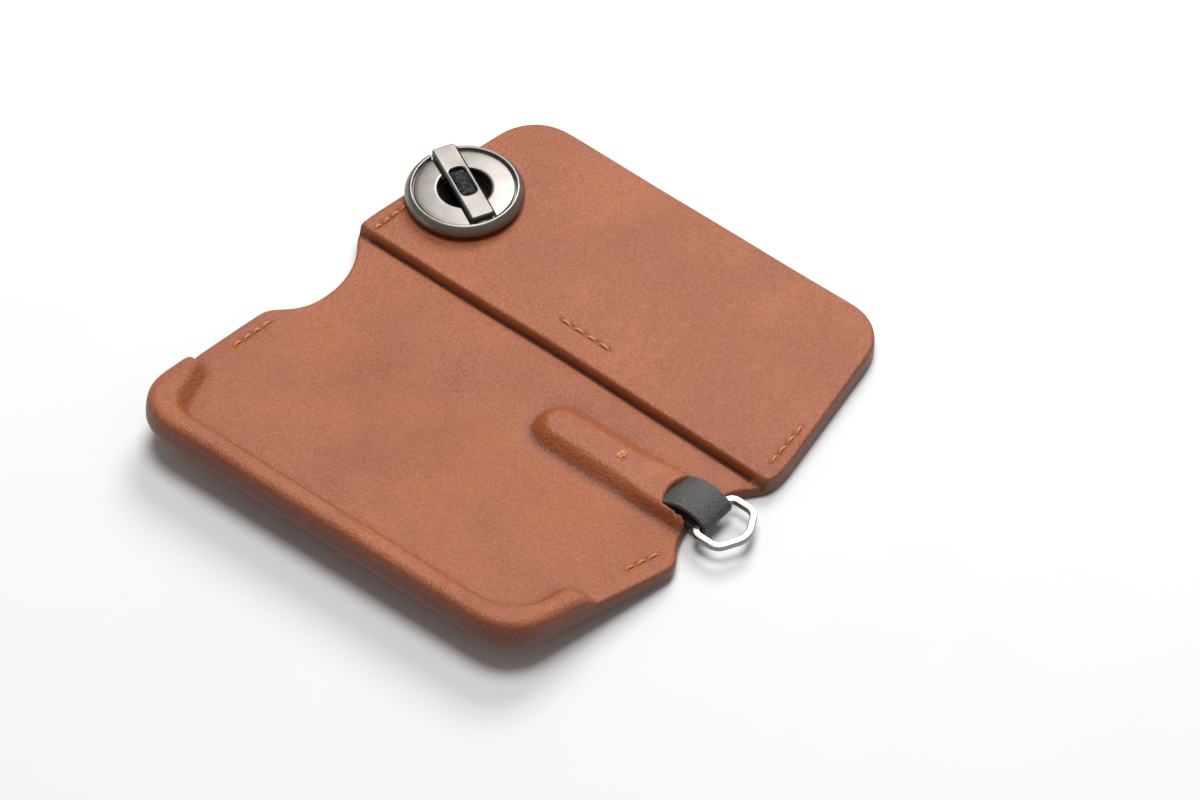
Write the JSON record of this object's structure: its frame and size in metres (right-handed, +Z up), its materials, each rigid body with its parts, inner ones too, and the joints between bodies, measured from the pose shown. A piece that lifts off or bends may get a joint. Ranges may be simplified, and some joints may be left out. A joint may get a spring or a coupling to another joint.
{
  "type": "folding key cover",
  "caption": "Leather key cover lying open, with a sprung key post, a toggle bar on a disc, and a strap with a D-shaped ring at the fold.",
  "frame": {"origin": "middle of the underside of the open cover's bounding box, on the table", "axes": "+X along the fold towards the ring, +Y from the fold towards the back panel's free edge, +Z up out of the inner side"},
  "size_m": [0.0948, 0.0994, 0.0121],
  "materials": {
    "tan_leather": "matte",
    "black_leather": "satin",
    "board": "matte",
    "foam": "matte",
    "magnet": "plated",
    "gunmetal": "brushed",
    "nickel": "polished",
    "elastic": "woven cover",
    "thread": "waxed"
  },
  "bodies": {
    "back_panel": {"outer_back": "tan_leather", "lining_back": "tan_leather", "back_board": "board", "magnets_back": "magnet", "stitches_back": "thread"},
    "spine": {"outer_spine": "tan_leather", "lining_spine": "tan_leather", "ring_strap": "black_leather", "bar_tack": "thread"},
    "front_flap": {"outer_flap": "tan_leather", "lining_flap": "tan_leather", "ridge_core": "foam", "magnets_flap": "magnet", "stitches_flap": "thread"},
    "ring": {"d_ring": "nickel"},
    "post": {"post_anchor": "nickel", "post_eyelet": "nickel", "elastic_cord": "elastic"},
    "disc": {"key_disc": "gunmetal"},
    "toggle": {"toggle_bar": "gunmetal", "cross_pin": "nickel", "cord_loop": "elastic"}
  },
  "joints": [
    {"name": "fold_back", "type": "hinge", "parent": "back_panel", "child": "spine", "pos_m": [0, 0.00604, 0.0026], "axis": [-1, 0, 0], "range_deg": [0, 90]},
    {"name": "fold_front", "type": "hinge", "parent": "spine", "child": "front_flap", "pos_m": [0, -0.00896, 0.0026], "axis": [-1, 0, 0], "range_deg": [0, 80]},
    {"name": "ring_swing", "type": "hinge", "parent": "spine", "child": "ring", "pos_m": [0.0397, -0.00146, 0.0034], "axis": [0, -1, 0], "range_deg": [-60, 75]},
    {"name": "post_swivel", "type": "hinge", "parent": "back_panel", "child": "post", "pos_m": [-0.0371, 0.02584, 0.0038], "axis": [0, 0, 1], "range_deg": [-90, 90]},
    {"name": "disc_pull", "type": "slide", "parent": "post", "child": "disc", "axis": [0, 0, -1], "range_m": [-0.008, 0], "stiffness_N_per_m": 300, "deforming": ["elastic_cord"]},
    {"name": "toggle_tilt", "type": "hinge", "parent": "disc", "child": "toggle", "pos_m": [-0.02982, 0.02229, 0.00745], "axis": [-0.4384, -0.8988, 0], "range_deg": [-60, 0], "stiffness_Nm_per_rad": 0.004, "deforming": ["cord_loop"]}
  ]
}
